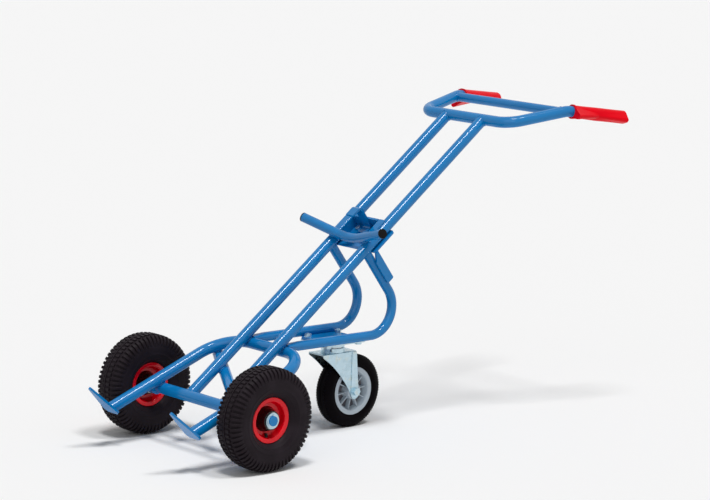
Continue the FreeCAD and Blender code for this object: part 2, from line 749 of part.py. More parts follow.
rim = rim.fuse(Part.makeCylinder(ring_middle, caster_rim_web, x_axis * (-caster_rim_web / 2), x_axis))
hub_start = x_axis * (-caster_hub_length / 2)
rim = rim.fuse(Part.makeCylinder(caster_hub_diameter / 2, caster_hub_length, hub_start, x_axis))
for number in range(caster_rib_count):
    rib_corner = Vector(-caster_rib_depth / 2, -caster_rib_thickness / 2, 0)
    rib = Part.makeBox(caster_rib_depth, caster_rib_thickness, ring_middle, rib_corner)
    rib.rotate(middle, x_axis, 360 / caster_rib_count * number)
    rim = rim.fuse(rib)
rim = rim.removeSplitter()
sleeve_passage = caster_sleeve_diameter / 2 + bolt_gap
rim = rim.cut(Part.makeCylinder(sleeve_passage, caster_hub_length, hub_start, x_axis))
roller_start = x_axis * (-caster_roller_length / 2)
rim = rim.cut(Part.makeCylinder(caster_roller_diameter / 2, caster_roller_length, roller_start, x_axis))
parts["caster_rim"] = rim.translated(caster_axle)
caster_radius = caster_tyre_diameter / 2
seat = across(caster_rim_width / 2, rim_radius)
side_top = across(caster_tyre_width / 2, caster_radius - caster_tyre_shoulder_drop)
tread_end = across(caster_tyre_crown / 2, caster_radius)
tread_mid = (side_top + tread_end) * 0.5 + unit(across(1, 1)) * (caster_tyre_shoulder_drop / 4)
caster_tyre_edges = mirrored_edges([Part.makeLine(seat, side_top), arc(side_top, tread_mid, tread_end)])
caster_tyre_edges.append(Part.makeLine(tread_end, across(-tread_end.x, caster_radius)))
caster_tyre_edges.append(Part.makeLine(seat, across(-seat.x, rim_radius)))
parts["caster_tyre"] = turned(Part.sortEdges(caster_tyre_edges)[0], caster_axle)

# Cradle tube across the front of the rails, with a plug in each end
cradle_lean = math.radians(cradle_angle)
cradle_touch = ((rail_diameter + cradle_diameter) / 2 - weld_sink) / math.cos(cradle_lean)
cradle_rise = (cradle_half_width - rail_x) * math.tan(cradle_lean)
cradle_end = on_rail(cradle_half_width, cradle_on_rail, cradle_touch + cradle_rise)
cradle_middle = on_rail(0, cradle_on_rail, cradle_touch - rail_x * math.tan(cradle_lean))
cradle_points = [cradle_end, cradle_middle, Vector(-cradle_end.x, cradle_end.y, cradle_end.z)]
cradle_tube = tube(cradle_points, [cradle_bend], cradle_diameter, cradle_wall)
parts["cradle_tube"] = largest(cradle_tube.cut(rail_solids))
plug_way = unit(cradle_end - cradle_middle)
plug = Part.makeCylinder(cradle_diameter / 2, plug_head, cradle_end, plug_way)
plug_core = Part.makeCylinder(cradle_diameter / 2 - cradle_wall, plug_shank, cradle_end, plug_way * -1)
plug = plug.fuse(plug_core).removeSplitter()
parts["cradle_plugs"] = Part.makeCompound([plug, mirrored(plug)])

# Hook unit: a channel between the rails with lips over them, a back plate, a claw and a lever
hook_low = cradle_on_rail + cradle_diameter / 2 + hook_rest_gap
rail_face = rail_diameter / 2 + slide_gap
wall_out = rail_x - rail_face
wall_in = wall_out - hook_sheet
floor_front = hook_sheet - rail_face
lip_front = rail_face + hook_sheet
half_channel = [(wall_out, -rail_face), (wall_out, rail_face), (hook_lip_reach, rail_face),
                (hook_lip_reach, lip_front), (wall_in, lip_front), (wall_in, floor_front)]
channel_outline = half_channel + [(-x, forward) for x, forward in reversed(half_channel)]
channel_points = [on_rail(x, hook_low, forward) for x, forward in channel_outline]
channel_face = Part.Face(Part.makePolygon(channel_points + channel_points[:1]))
channel = channel_face.extrude(rail_up * (hook_high - hook_low))
outer_bends = [(wall_out, -rail_face), (wall_in, lip_front)]
bend_edges = []
for edge in parallel_edges(channel, rail_up):
    for x, forward in outer_bends:
        near_left = (edge.CenterOfMass - on_rail(x, (hook_low + hook_high) / 2, forward)).Length < side_gap
        near_right = (edge.CenterOfMass - on_rail(-x, (hook_low + hook_high) / 2, forward)).Length < side_gap
        if near_left or near_right:
            bend_edges.append(edge)
channel = channel.makeFillet(hook_bend, bend_edges)
wall_start = hook_high - hook_end_wall
end_corners = [on_rail(x, wall_start, forward) for x, forward in (
    (wall_in, floor_front), (wall_in, lip_front), (-wall_in, lip_front), (-wall_in, floor_front))]
end_wall = Part.Face(Part.makePolygon(end_corners + end_corners[:1])).extrude(rail_up * hook_end_wall)
channel = largest(channel.fuse(end_wall).removeSplitter())

back_low = stand_on_rail + stand_diameter / 2 + side_gap
back_centre = on_rail(0, (back_low + hook_high) / 2, -rail_face)
back_plate = rounded_plate(rail_up, x_axis, hook_high - back_low, 2 * hook_back_half_width,
                           hook_back_thickness, hook_back_round, back_centre)
hook_bolts = []
hook_nuts = []
clamped = hook_sheet + hook_back_thickness
for side in (1, -1):
    place = on_rail(side * hook_bolt_half_spacing, hook_bolt_place, floor_front)
    hole = Part.makeCylinder(hook_bolt_size / 2 + bolt_gap, clamped, place, rail_front * -1)
    channel = channel.cut(hole)
    back_plate = back_plate.cut(hole)
    hook_bolts.append(bolt(hook_bolt_size, clamped, hook_bolt_size, place, rail_front * -1))
    nut_base = place - rail_front * clamped
    hook_nuts.append(nut(hook_bolt_size, nut_base, rail_front * -1))
parts["hook_channel"] = channel
parts["hook_back_plate"] = back_plate
parts["hook_bolts"] = Part.makeCompound(hook_bolts)
parts["hook_nuts"] = Part.makeCompound(hook_nuts)

claw_base = floor_front + claw_thickness / 2
claw_top = wall_start - claw_thickness / 2
claw_points = [on_rail(0, claw_top - claw_foot, claw_base), on_rail(0, claw_top, claw_base),
               on_rail(0, claw_top, claw_reach), on_rail(0, claw_top - claw_drop, claw_reach)]
claw_corners = []
for x_side, front_side in ((1, 1), (1, -1), (-1, -1), (-1, 1)):
    sideways = x_axis * (x_side * claw_width / 2)
    claw_corners.append(claw_points[0] + sideways + rail_front * (front_side * claw_thickness / 2))
claw_section = Part.makePolygon(claw_corners + claw_corners[:1])
claw_path = rounded_path(claw_points, [claw_bend, claw_bend])
parts["hook_claw"] = claw_path.makePipeShell([claw_section], True, False)

back_face = -rail_face - hook_back_thickness
lever_x = hook_back_half_width - lever_inset
lever_points = [on_rail(lever_x, along, forward) for along, forward in (
    (lever_top, back_face), (lever_top, -lever_reach), (lever_low, -lever_reach),
    (lever_low, -lever_shoulder), (back_low, back_face))]
lever = Part.Face(Part.makePolygon(lever_points + lever_points[:1])).extrude(x_axis * lever_thickness)
lever_end = on_rail(lever_x + lever_thickness / 2, (lever_top + lever_low) / 2, -lever_reach)
round_edges = [edge for edge in parallel_edges(lever, x_axis)
               if abs((edge.CenterOfMass - lever_end).dot(rail_front)) < side_gap]
parts["hook_lever"] = lever.makeFillet(lever_round, round_edges)

# The origin goes on the floor under the middle of the whole trolley
everything = Part.makeCompound(list(parts.values()))
box = everything.optimalBoundingBox(False)
shift = Vector(-box.Center.x, -box.Center.y, -box.ZMin)
os.makedirs("parts", exist_ok=True)
for name, shape in parts.items():
    shape.translated(shift).exportStep("parts/" + name + ".step")
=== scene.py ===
import json
import math

import bpy
from mathutils import Matrix, Vector


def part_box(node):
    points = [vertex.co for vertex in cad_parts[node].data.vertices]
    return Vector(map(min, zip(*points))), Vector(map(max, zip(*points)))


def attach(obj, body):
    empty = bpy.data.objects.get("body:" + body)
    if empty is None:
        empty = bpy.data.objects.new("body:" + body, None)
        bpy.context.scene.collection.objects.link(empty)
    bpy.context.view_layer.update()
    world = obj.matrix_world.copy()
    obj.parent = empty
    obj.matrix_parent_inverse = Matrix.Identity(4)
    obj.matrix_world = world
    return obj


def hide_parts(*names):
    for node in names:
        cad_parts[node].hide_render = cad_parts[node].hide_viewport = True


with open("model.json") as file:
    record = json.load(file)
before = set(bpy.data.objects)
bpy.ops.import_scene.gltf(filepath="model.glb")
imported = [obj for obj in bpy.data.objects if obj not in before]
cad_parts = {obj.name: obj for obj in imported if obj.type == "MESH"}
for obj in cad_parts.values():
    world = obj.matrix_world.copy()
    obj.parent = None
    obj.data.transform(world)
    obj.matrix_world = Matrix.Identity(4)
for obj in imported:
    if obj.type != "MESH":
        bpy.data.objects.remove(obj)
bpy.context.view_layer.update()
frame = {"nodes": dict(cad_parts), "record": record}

nodes = frame["nodes"]
print("frame loaded:", len(nodes), "nodes")

# Camera where the photograph was taken from
cameraView = {
    "place": (4.9890, -4.5357, 1.5988),
    "azimuth": 47.782,
    "pitch": 9.529,
    "roll": 1.971,
    "focalPixels": 2619.854,
    "imageWidth": 710,
    "sensor": 36.0,
    "clipEnd": 100,
}


def placeCamera():
    azimuth = math.radians(cameraView["azimuth"])
    pitch = math.radians(cameraView["pitch"])
    roll = math.radians(cameraView["roll"])
    reach = math.cos(pitch)
    back = Vector((math.sin(azimuth) * reach, -math.cos(azimuth) * reach, math.sin(pitch)))
    level = Vector((math.cos(azimuth), math.sin(azimuth), 0))
    upright = back.cross(level)
    right = level * math.cos(roll) + upright * math.sin(roll)
    up = upright * math.cos(roll) - level * math.sin(roll)
    data = bpy.data.cameras.new("studioCamera")
    data.sensor_width = cameraView["sensor"]
    data.sensor_fit = "HORIZONTAL"
    data.lens = cameraView["focalPixels"] * cameraView["sensor"] / cameraView["imageWidth"]
    data.clip_end = cameraView["clipEnd"]
    camera = bpy.data.objects.new("studioCamera", data)
    bpy.context.scene.collection.objects.link(camera)
    turn = Matrix((right, up, back)).transposed().to_4x4()
    camera.matrix_world = Matrix.Translation(Vector(cameraView["place"])) @ turn
    bpy.context.scene.camera = camera


placeCamera()
print("camera placed")

# Studio: pale floor, even sky, one broad sun and two small ones that draw light lines on the tubes
studio = {
    "backgroundColour": (0.913, 0.913, 0.913, 1),
    "skyColour": (1, 1, 1, 1),
    "skyLight": 0.24,
    "floorColour": (0.95, 0.95, 0.95, 1),
    "floorRoughness": 1.0,
    "floorShine": 0.0,
    "floorSize": 60,
    "suns": {
        "railSun": {"from": (0.20, -0.21, 0.957), "spread": 12, "strength": 1.25},
        "armSun": {"from": (0.31, 0.16, 0.94), "spread": 12, "strength": 0.95},
        "frontSun": {"from": (0.45, -0.75, 0.50), "spread": 50, "strength": 0.40},
    },
}


def shineOn(sunName, sun):
    data = bpy.data.lights.new(sunName, "SUN")
    data.angle = math.radians(sun["spread"])
    data.energy = sun["strength"]
    light = bpy.data.objects.new(sunName, data)
    bpy.context.scene.collection.objects.link(light)
    light.rotation_euler = (-Vector(sun["from"])).to_track_quat("-Z", "Y").to_euler()


def mathIn(tree, operation, *sources):
    node = tree.nodes.new("ShaderNodeMath")
    node.operation = operation
    for source, socket in zip(sources, node.inputs):
        tree.links.new(source, socket)
    return node.outputs[0]


def hangSky():
    # the camera and reflections see the pale background, and the object is lit by the dimmer sky
    world = bpy.data.worlds.new("studioSky")
    bpy.context.scene.world = world
    world.use_nodes = True
    tree = world.node_tree
    tree.nodes.clear()
    output = tree.nodes.new("ShaderNodeOutputWorld")
    seen = tree.nodes.new("ShaderNodeBackground")
    seen.inputs["Color"].default_value = studio["backgroundColour"]
    lit = tree.nodes.new("ShaderNodeBackground")
    lit.inputs["Color"].default_value = studio["skyColour"]
    lit.inputs["Strength"].default_value = studio["skyLight"]
    path = tree.nodes.new("ShaderNodeLightPath")
    mirrored = mathIn(tree, "MAXIMUM", path.outputs["Is Camera Ray"], path.outputs["Is Glossy Ray"])
    direct = mathIn(tree, "MAXIMUM", mirrored, path.outputs["Is Transmission Ray"])
    mix = tree.nodes.new("ShaderNodeMixShader")
    tree.links.new(direct, mix.inputs["Fac"])
    tree.links.new(lit.outputs[0], mix.inputs[1])
    tree.links.new(seen.outputs[0], mix.inputs[2])
    tree.links.new(mix.outputs[0], output.inputs["Surface"])


def layFloor():
    bpy.ops.object.select_all(action="DESELECT")
    bpy.ops.mesh.primitive_plane_add(size=studio["floorSize"], location=(0, 0, 0))
    floor = bpy.context.object
    floor.name = "studioFloor"
    material = bpy.data.materials.new("paleFloor")
    material.use_nodes = True
    shader = material.node_tree.nodes["Principled BSDF"]
    shader.inputs["Base Color"].default_value = studio["floorColour"]
    shader.inputs["Roughness"].default_value = studio["floorRoughness"]
    shader.inputs["Specular IOR Level"].default_value = studio["floorShine"]
    floor.data.materials.append(material)


bpy.context.scene.view_settings.view_transform = "Standard"
hangSky()
for sunName, sun in studio["suns"].items():
    shineOn(sunName, sun)
layFloor()
print("studio lit")

# Shared surface effects, each built once as a node group that gives colour, roughness and height
fullRange = (0.0, 1.0)
mixSockets = {"factor": 0, "first": 6, "second": 7, "result": 2}  # a Mix node's places for colours


def newGroup(groupName, look):
    group = bpy.data.node_groups.new(groupName, "ShaderNodeTree")
    sockets = [(name, "INPUT", "NodeSocketColor") for name in look["colours"]]
    sockets += [(name, "INPUT", "NodeSocketFloat") for name in look["numbers"]]
    sockets += [("Colour", "OUTPUT", "NodeSocketColor"), ("Roughness", "OUTPUT", "NodeSocketFloat"),
                ("Height", "OUTPUT", "NodeSocketFloat")]
    for socketName, way, kind in sockets:
        group.interface.new_socket(name=socketName, in_out=way, socket_type=kind)
    given = group.nodes.new("NodeGroupInput")
    result = group.nodes.new("NodeGroupOutput")
    coordinates = group.nodes.new("ShaderNodeTexCoord")
    return group, given, result, coordinates


def noiseIn(group, coordinates, grade):
    noise = group.nodes.new("ShaderNodeTexNoise")
    noise.inputs["Scale"].default_value, noise.inputs["Detail"].default_value = grade
    group.links.new(coordinates.outputs["Object"], noise.inputs["Vector"])
    return noise.outputs["Fac"]


def rangeIn(group, source, limits, newLimits):
    span = group.nodes.new("ShaderNodeMapRange")
    span.inputs["From Min"].default_value, span.inputs["From Max"].default_value = limits
    span.inputs["To Min"].default_value, span.inputs["To Max"].default_value = newLimits
    group.links.new(source, span.inputs["Value"])
    return span.outputs["Result"]


def colourMixIn(group, factor, first, second):
    mix = group.nodes.new("ShaderNodeMix")
    mix.data_type = "RGBA"
    group.links.new(factor, mix.inputs[mixSockets["factor"]])
    group.links.new(first, mix.inputs[mixSockets["first"]])
    group.links.new(second, mix.inputs[mixSockets["second"]])
    return mix.outputs[mixSockets["result"]]


def giveOut(group, given, result, look, tone, sheenSource, height):
    # the finish's gloss goes up and down a little over the surface
    share = rangeIn(group, sheenSource, look["sheenRange"], look["sheenShare"])
    sheen = mathIn(group, "MULTIPLY", given.outputs["Gloss"], share)
    group.links.new(tone, result.inputs["Colour"])
    group.links.new(sheen, result.inputs["Roughness"])
    group.links.new(height, result.inputs["Height"])
    return group


# Stoved paint: slow drifts of tone, orange peel and a little settled dust on top faces
paintFilmLook = {
    "colours": ("Colour", "Deep Colour", "Dust Colour"),
    "numbers": ("Gloss",),
    "drift": (6.0, 2.0),  # each noise has its scale and detail
    "peel": (420.0, 2.0),
    "smear": (38.0, 5.0),
    "driftRange": (0.35, 0.7),
    "topFaceRange": (0.5, 1.0),
    "dustRange": (0.5, 0.8),
    "dustShare": (0.0, 0.10),
    "sheenRange": (0.3, 0.7),
    "sheenShare": (0.85, 1.2),
}


def makePaintFilm():
    look = paintFilmLook
    group, given, result, coordinates = newGroup("paintFilm", look)
    drift = noiseIn(group, coordinates, look["drift"])
    peel = noiseIn(group, coordinates, look["peel"])
    smear = noiseIn(group, coordinates, look["smear"])
    tone = colourMixIn(group, rangeIn(group, drift, look["driftRange"], fullRange),
                       given.outputs["Colour"], given.outputs["Deep Colour"])
    geometry = group.nodes.new("ShaderNodeNewGeometry")
    facing = group.nodes.new("ShaderNodeSeparateXYZ")
    group.links.new(geometry.outputs["Normal"], facing.inputs["Vector"])
    topFace = rangeIn(group, facing.outputs["Z"], look["topFaceRange"], fullRange)
    speck = rangeIn(group, smear, look["dustRange"], look["dustShare"])
    dust = mathIn(group, "MULTIPLY", topFace, speck)
    dusted = colourMixIn(group, dust, tone, given.outputs["Dust Colour"])
    return giveOut(group, given, result, look, dusted, smear, peel)


# Rubber and plastic: fine grain, faint bloom and uneven sheen
mouldSkinLook = {
    "colours": ("Colour", "Bloom Colour"),
    "numbers": ("Bloom", "Gloss"),
    "cloud": (22.0, 4.0),
    "grain": (900.0, 3.0),
    "bloomRange": (0.4, 0.75),
    "sheenRange": (0.3, 0.7),
    "sheenShare": (0.88, 1.12),
}


def makeMouldSkin():
    look = mouldSkinLook
    group, given, result, coordinates = newGroup("mouldSkin", look)
    cloud = noiseIn(group, coordinates, look["cloud"])
    grain = noiseIn(group, coordinates, look["grain"])
    bloom = rangeIn(group, cloud, look["bloomRange"], fullRange)
    amount = mathIn(group, "MULTIPLY", bloom, given.outputs["Bloom"])
    tone = colourMixIn(group, amount, given.outputs["Colour"], given.outputs["Bloom Colour"])
    return giveOut(group, given, result, look, tone, cloud, grain)


# Bright zinc: small crystal patches with their own tone and sheen, and a few faint yellow stains
zincSpangleLook = {
    "colours": ("Colour", "Dull Colour", "Stain Colour"),
    "numbers": ("Patch Size", "Gloss"),
    "tarnish": (30.0, 4.0),
    "stain": (48.0, 3.0),
    "stainRange": (0.55, 0.72),
    "stainShare": (0.0, 0.6),
    "sheenRange": (0.0, 1.0),
    "sheenShare": (0.8, 1.25),
}


def makeZincSpangle():
    look = zincSpangleLook
    group, given, result, coordinates = newGroup("zincSpangle", look)
    patches = group.nodes.new("ShaderNodeTexVoronoi")
    group.links.new(coordinates.outputs["Object"], patches.inputs["Vector"])
    group.links.new(given.outputs["Patch Size"], patches.inputs["Scale"])
    split = group.nodes.new("ShaderNodeSeparateColor")
    group.links.new(patches.outputs["Color"], split.inputs["Color"])
    tarnish = noiseIn(group, coordinates, look["tarnish"])
    dulled = mathIn(group, "MULTIPLY", split.outputs["Red"], tarnish)
    tone = colourMixIn(group, dulled, given.outputs["Colour"], given.outputs["Dull Colour"])
    stain = noiseIn(group, coordinates, look["stain"])
    stained = rangeIn(group, stain, look["stainRange"], look["stainShare"])
    tone = colourMixIn(group, stained, tone, given.outputs["Stain Colour"])
    return giveOut(group, given, result, look, tone, split.outputs["Green"], tarnish)


# Moulded wheel: its thin middle web is painted darker as shade in its recess, while the ring, hub and
# ribs that stand out from it keep the light colour
rimMouldAndWebShadeLook = {
    "colours": ("Colour", "Web Shade Colour"),
    "numbers": ("Web Half", "Gloss"),
    "cloud": (35.0, 4.0),
    "grain": (700.0, 2.0),
    "webShadeRange": (1.0, 1.6),
    "sheenRange": (0.3, 0.7),
    "sheenShare": (0.85, 1.15),
}


def makeRimMouldAndWebShade():
    look = rimMouldAndWebShadeLook
    group, given, result, coordinates = newGroup("rimMouldAndWebShade", look)
    split = group.nodes.new("ShaderNodeSeparateXYZ")
    group.links.new(coordinates.outputs["Object"], split.inputs["Vector"])
    depth = mathIn(group, "ABSOLUTE", split.outputs["X"])
    share = mathIn(group, "DIVIDE", depth, given.outputs["Web Half"])
    # painted shade: near the wheel's middle plane the web gets the dark shade colour, and the parts
    # standing out keep the light colour
    outsideWebShade = rangeIn(group, share, look["webShadeRange"], fullRange)
    tone = colourMixIn(group, outsideWebShade, given.outputs["Web Shade Colour"], given.outputs["Colour"])
    cloud = noiseIn(group, coordinates, look["cloud"])
    grain = noiseIn(group, coordinates, look["grain"])
    return giveOut(group, given, result, look, tone, cloud, grain)


effects = {
    "paintFilm": makePaintFilm(),
    "mouldSkin": makeMouldSkin(),
    "zincSpangle": makeZincSpangle(),
    "rimMouldAndWebShade": makeRimMouldAndWebShade(),
}
print("surface effects built:", len(effects))

# One entry per finish: its effect, the bump's strength and reach in metres, the effect's values,
# and the shader's own constants
finishes = {
    "blueStove": {
        "effect": "paintFilm", "bump": 0.006, "reach": 0.0005,
        "values": {"Colour": (0.003, 0.196, 0.505, 1), "Deep Colour": (0.002, 0.176, 0.466, 1),
                   "Dust Colour": (0.30, 0.45, 0.60, 1), "Gloss": 0.34},
        "shader": {"Specular IOR Level": 0.0, "Coat Weight": 0.72, "Coat Roughness": 0.12},
    },
    "redStove": {
        "effect": "paintFilm", "bump": 0.006, "reach": 0.0005,
        "values": {"Colour": (0.82, 0.001, 0.011, 1), "Deep Colour": (0.74, 0.001, 0.009, 1),
                   "Dust Colour": (0.75, 0.25, 0.23, 1), "Gloss": 0.3},
        "shader": {"Specular IOR Level": 0.0, "Coat Weight": 0.65, "Coat Roughness": 0.12},
    },
    "redGrip": {
        "effect": "mouldSkin", "bump": 0.04, "reach": 0.0005,
        "values": {"Colour": (0.80, 0.0008, 0.010, 1), "Bloom Colour": (0.72, 0.002, 0.012, 1),
                   "Bloom": 0.35, "Gloss": 0.36},
        "shader": {"Specular IOR Level": 0.08},
    },
    "tyreBlack": {
        "effect": "mouldSkin", "bump": 0.2, "reach": 0.0008,
        "values": {"Colour": (0.0125, 0.0085, 0.0115, 1), "Bloom Colour": (0.024, 0.018, 0.023, 1),
                   "Bloom": 0.7, "Gloss": 0.5},
        "shader": {"Specular IOR Level": 0.08},
    },
    "innerTube": {
        "effect": "mouldSkin", "bump": 0.1, "reach": 0.0005,
        "values": {"Colour": (0.010, 0.010, 0.010, 1), "Bloom Colour": (0.02, 0.02, 0.02, 1),
                   "Bloom": 0.6, "Gloss": 0.5},
        "shader": {"Specular IOR Level": 0.2},
    },
    "hubBlack": {
        "effect": "mouldSkin", "bump": 0.02, "reach": 0.0004,
        "values": {"Colour": (0.003, 0.003, 0.003, 1), "Bloom Colour": (0.006, 0.006, 0.006, 1),
                   "Bloom": 0.5, "Gloss": 0.14},
        "shader": {"Specular IOR Level": 0.5},
    },
    "casterRubber": {
        "effect": "mouldSkin", "bump": 0.12, "reach": 0.0006,
        "values": {"Colour": (0.0018, 0.0012, 0.0018, 1), "Bloom Colour": (0.006, 0.004, 0.006, 1),
                   "Bloom": 0.5, "Gloss": 0.5},
        "shader": {"Specular IOR Level": 0.03},
    },
    "casterGrey": {
        "effect": "rimMouldAndWebShade", "bump": 0.04, "reach": 0.0005,
        # the web's dark colour is painted shade of the recess between the ribs
        "values": {"Colour": (0.45, 0.52, 0.58, 1), "Web Shade Colour": (0.110, 0.106, 0.125, 1),
                   "Web Half": 0.0032, "Gloss": 0.26},
        "shader": {"Specular IOR Level": 0.4},
    },
    "plugBlack": {
        "effect": "mouldSkin", "bump": 0.06, "reach": 0.0004,
        "values": {"Colour": (0.004, 0.003, 0.003, 1), "Bloom Colour": (0.010, 0.009, 0.009, 1),
                   "Bloom": 0.5, "Gloss": 0.45},
        "shader": {"Specular IOR Level": 0.1},
    },
    "valveBlack": {
        "effect": "mouldSkin", "bump": 0.06, "reach": 0.0003,
        "values": {"Colour": (0.006, 0.006, 0.006, 1), "Bloom Colour": (0.014, 0.014, 0.014, 1),
                   "Bloom": 0.5, "Gloss": 0.4},
        "shader": {"Specular IOR Level": 0.2},
    },
    "bearingSteel": {
        "effect": "zincSpangle", "bump": 0.01, "reach": 0.0003,
        "values": {"Colour": (0.62, 0.62, 0.63, 1), "Dull Colour": (0.5, 0.5, 0.51, 1),
                   "Stain Colour": (0.56, 0.54, 0.50, 1), "Patch Size": 300.0, "Gloss": 0.22},
        "shader": {"Metallic": 1.0},
    },
    "zincPlate": {
        "effect": "zincSpangle", "bump": 0.012, "reach": 0.0004,
        "values": {"Colour": (0.52, 0.67, 0.75, 1), "Dull Colour": (0.40, 0.54, 0.61, 1),
                   "Stain Colour": (0.64, 0.64, 0.52, 1), "Patch Size": 110.0, "Gloss": 0.30},
        "shader": {"Metallic": 1.0},
    },
}


def makeFinish(finishName, finish):
    material = bpy.data.materials.new(finishName)
    material.use_nodes = True
    tree = material.node_tree
    shader = tree.nodes["Principled BSDF"]
    for socketName, value in finish["shader"].items():
        shader.inputs[socketName].default_value = value
    effect = tree.nodes.new("ShaderNodeGroup")
    effect.node_tree = effects[finish["effect"]]
    for socketName, value in finish["values"].items():
        effect.inputs[socketName].default_value = value
    bump = tree.nodes.new("ShaderNodeBump")
    bump.inputs["Strength"].default_value = finish["bump"]
    bump.inputs["Distance"].default_value = finish["reach"]
    tree.links.new(effect.outputs["Colour"], shader.inputs["Base Color"])
    tree.links.new(effect.outputs["Roughness"], shader.inputs["Roughness"])
    tree.links.new(effect.outputs["Height"], bump.inputs["Height"])
    tree.links.new(bump.outputs["Normal"], shader.inputs["Normal"])
    return material


materials = {finishName: makeFinish(finishName, finish) for finishName, finish in finishes.items()}

# Which finish each of the record's material slots gets
slotFinishes = {
    "blue_paint": "blueStove",
    "red_paint": "redStove",
    "grip_rubber": "redGrip",
    "tyre_rubber": "tyreBlack",
    "tube_rubber": "innerTube",
    "hub_black": "hubBlack",
    "caster_rubber": "casterRubber",
    "caster_grey": "casterGrey",
    "plug_black": "plugBlack",
    "valve_brass": "valveBlack",
    "bearing_steel": "bearingSteel",
    "zinc_steel": "zincPlate",
}


def dressNodes():
    for entry in frame["record"]["subparts"]:
        node = nodes[entry["node"]]
        material = materials[slotFinishes[entry["material_slot"]]]
        if not node.material_slots:
            node.data.materials.append(material)
        for place in node.material_slots:
            place.material = material


dressNodes()
print("finishes applied:", len(materials))

# Lengths in the pieces' dictionaries are in millimetres
mm = 0.001
starterSize = 0.01  # a plane of this size is drawn together to a point, from which a line is extruded


def boxCentre(nodeName):
    low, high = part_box(nodeName)
    return (Vector(low) + Vector(high)) / 2


def startPiece():
    if bpy.context.object and bpy.context.object.mode != "OBJECT":
        bpy.ops.object.mode_set(mode="OBJECT")
    bpy.ops.object.select_all(action="DESELECT")


def pick(*pieces):
    startPiece()
    for piece in pieces:
        piece.select_set(True)
    bpy.context.view_layer.objects.active = pieces[0]


def joinPieces(*pieces):
    pick(*pieces)
    bpy.ops.object.join()
    return pieces[0]


def settle(piece):
    pick(piece)
    bpy.ops.object.transform_apply(location=True, rotation=True, scale=True)


def finishPiece(piece, pieceName, finishName, body, smoothAngle):
    settle(piece)
    bpy.ops.object.shade_smooth_by_angle(angle=math.radians(smoothAngle))
    piece.name = pieceName
    piece.data.name = pieceName
    piece.data.materials.clear()
    piece.data.materials.append(materials[finishName])
    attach(piece, body)
    print("made", pieceName, len(piece.data.polygons), "faces")


def editAll():
    bpy.ops.object.mode_set(mode="EDIT")
    bpy.ops.mesh.select_all(action="SELECT")


def mergeAll(reach):
    bpy.ops.mesh.select_all(action="SELECT")
    bpy.ops.mesh.remove_doubles(threshold=reach * mm)


def closeEdit():
    bpy.ops.mesh.normals_make_consistent(inside=False)
    bpy.ops.object.mode_set(mode="OBJECT")


def startPoint(place):
    startPiece()
    bpy.ops.mesh.primitive_plane_add(size=starterSize, location=place)
    editAll()
    bpy.ops.mesh.merge(type="CENTER")
    return bpy.context.object


def drawThrough(spots):
    for here, there in zip(spots, spots[1:]):
        bpy.ops.mesh.extrude_region_move(TRANSFORM_OT_translate={"value": there - here})


def addBar(place, sizes):
    startPiece()
    bpy.ops.mesh.primitive_cube_add(size=1, location=place)
    bar = bpy.context.object
    bar.scale = [size * mm for size in sizes]
    settle(bar)
    return bar


# Turned pieces: a section of points (along the axis, away from it) that is spun full round
turning = {
    "wheelAxis": (1, 0, 0),
    "wheelOut": (0, 0, 1),
    "valveAxis": (0, 0, 1),
    "valveOut": (1, 0, 0),
    "seamReach": 0.05,
}


def spinSection(centre, loop, steps, axis, out):
    along = Vector(axis)
    away = Vector(out)
    spots = [(along * point[0] + away * point[1]) * mm for point in loop]
    piece = startPoint(centre)
    bpy.ops.transform.translate(value=spots[0])
    drawThrough(spots)
    bpy.ops.mesh.select_all(action="SELECT")
    bpy.ops.mesh.spin(steps=steps, angle=math.tau, center=centre, axis=axis)
    mergeAll(turning["seamReach"])  # closes the seam of the spin and of the section
    closeEdit()
    return piece


def bothSides(half):
    return half + [(-along, away) for along, away in reversed(half)]


def spinWheel(centre, half, steps):
    return spinSection(centre, bothSides(half), steps, turning["wheelAxis"], turning["wheelOut"])


def goRound(centre, count):
    # all that is in edit mode is repeated round the axle
    bpy.ops.mesh.select_all(action="SELECT")
    bpy.ops.mesh.spin(steps=count - 1, dupli=True, angle=math.tau * (count - 1) / count,
                      center=centre, axis=turning["wheelAxis"])
    bpy.ops.mesh.select_all(action="SELECT")


def repeatRound(centre, count):
    # round the axle, with a staggered mirror image on the other shoulder
    goRound(centre, count)
    bpy.ops.mesh.duplicate()
    bpy.ops.transform.resize(value=(-1, 1, 1), center_override=centre)
    bpy.ops.transform.rotate(value=math.pi / count, orient_axis="X", center_override=centre)
    bpy.ops.mesh.select_all(action="SELECT")
    closeEdit()


# Air-filled tyre: a carcass spun from half its section, with shoulder lugs and tread blocks
tyreShape = {
    "outside": [(0, 129.6), (1.7, 129.5), (2.4, 126.8), (12, 126.3), (23, 124.4), (31.5, 119.6),
                (36.6, 112.6), (39.6, 104.6), (40.6, 96), (40.3, 88), (39.4, 82.2), (39.8, 81.0),
                (39.1, 79.9), (37.9, 76.2), (35.6, 71.2), (35.9, 70.0), (34.9, 69.2), (31.6, 64.4),
                (27.4, 60.4), (23.5, 58.4), (22, 57.3)],
    "inside": [(22, 48), (12, 48), (12, 57), (24, 70), (31, 88), (29.5, 104), (22, 114), (0, 119.5)],
    "steps": 112,
    "smoothAngle": 30,
    "lugCount": 62,
    "lugWidth": 6.6,
    "lugCentre": (19.5, 107.5),
    "lugDepths": (15.0, 21.5),
    "lugAngles": (-16, 78),
    "lugSteps": 5,
    "lugBevel": 0.7,
    "lugMerge": 0.02,
    "lugEndSides": 8,
    "blockSpan": (4.8, 18.6),
    "blockDepths": (124.5, 129.4),
    "blockWidth": 6.8,
    "blockBevel": 0.7,
    "blockCount": 62,
}


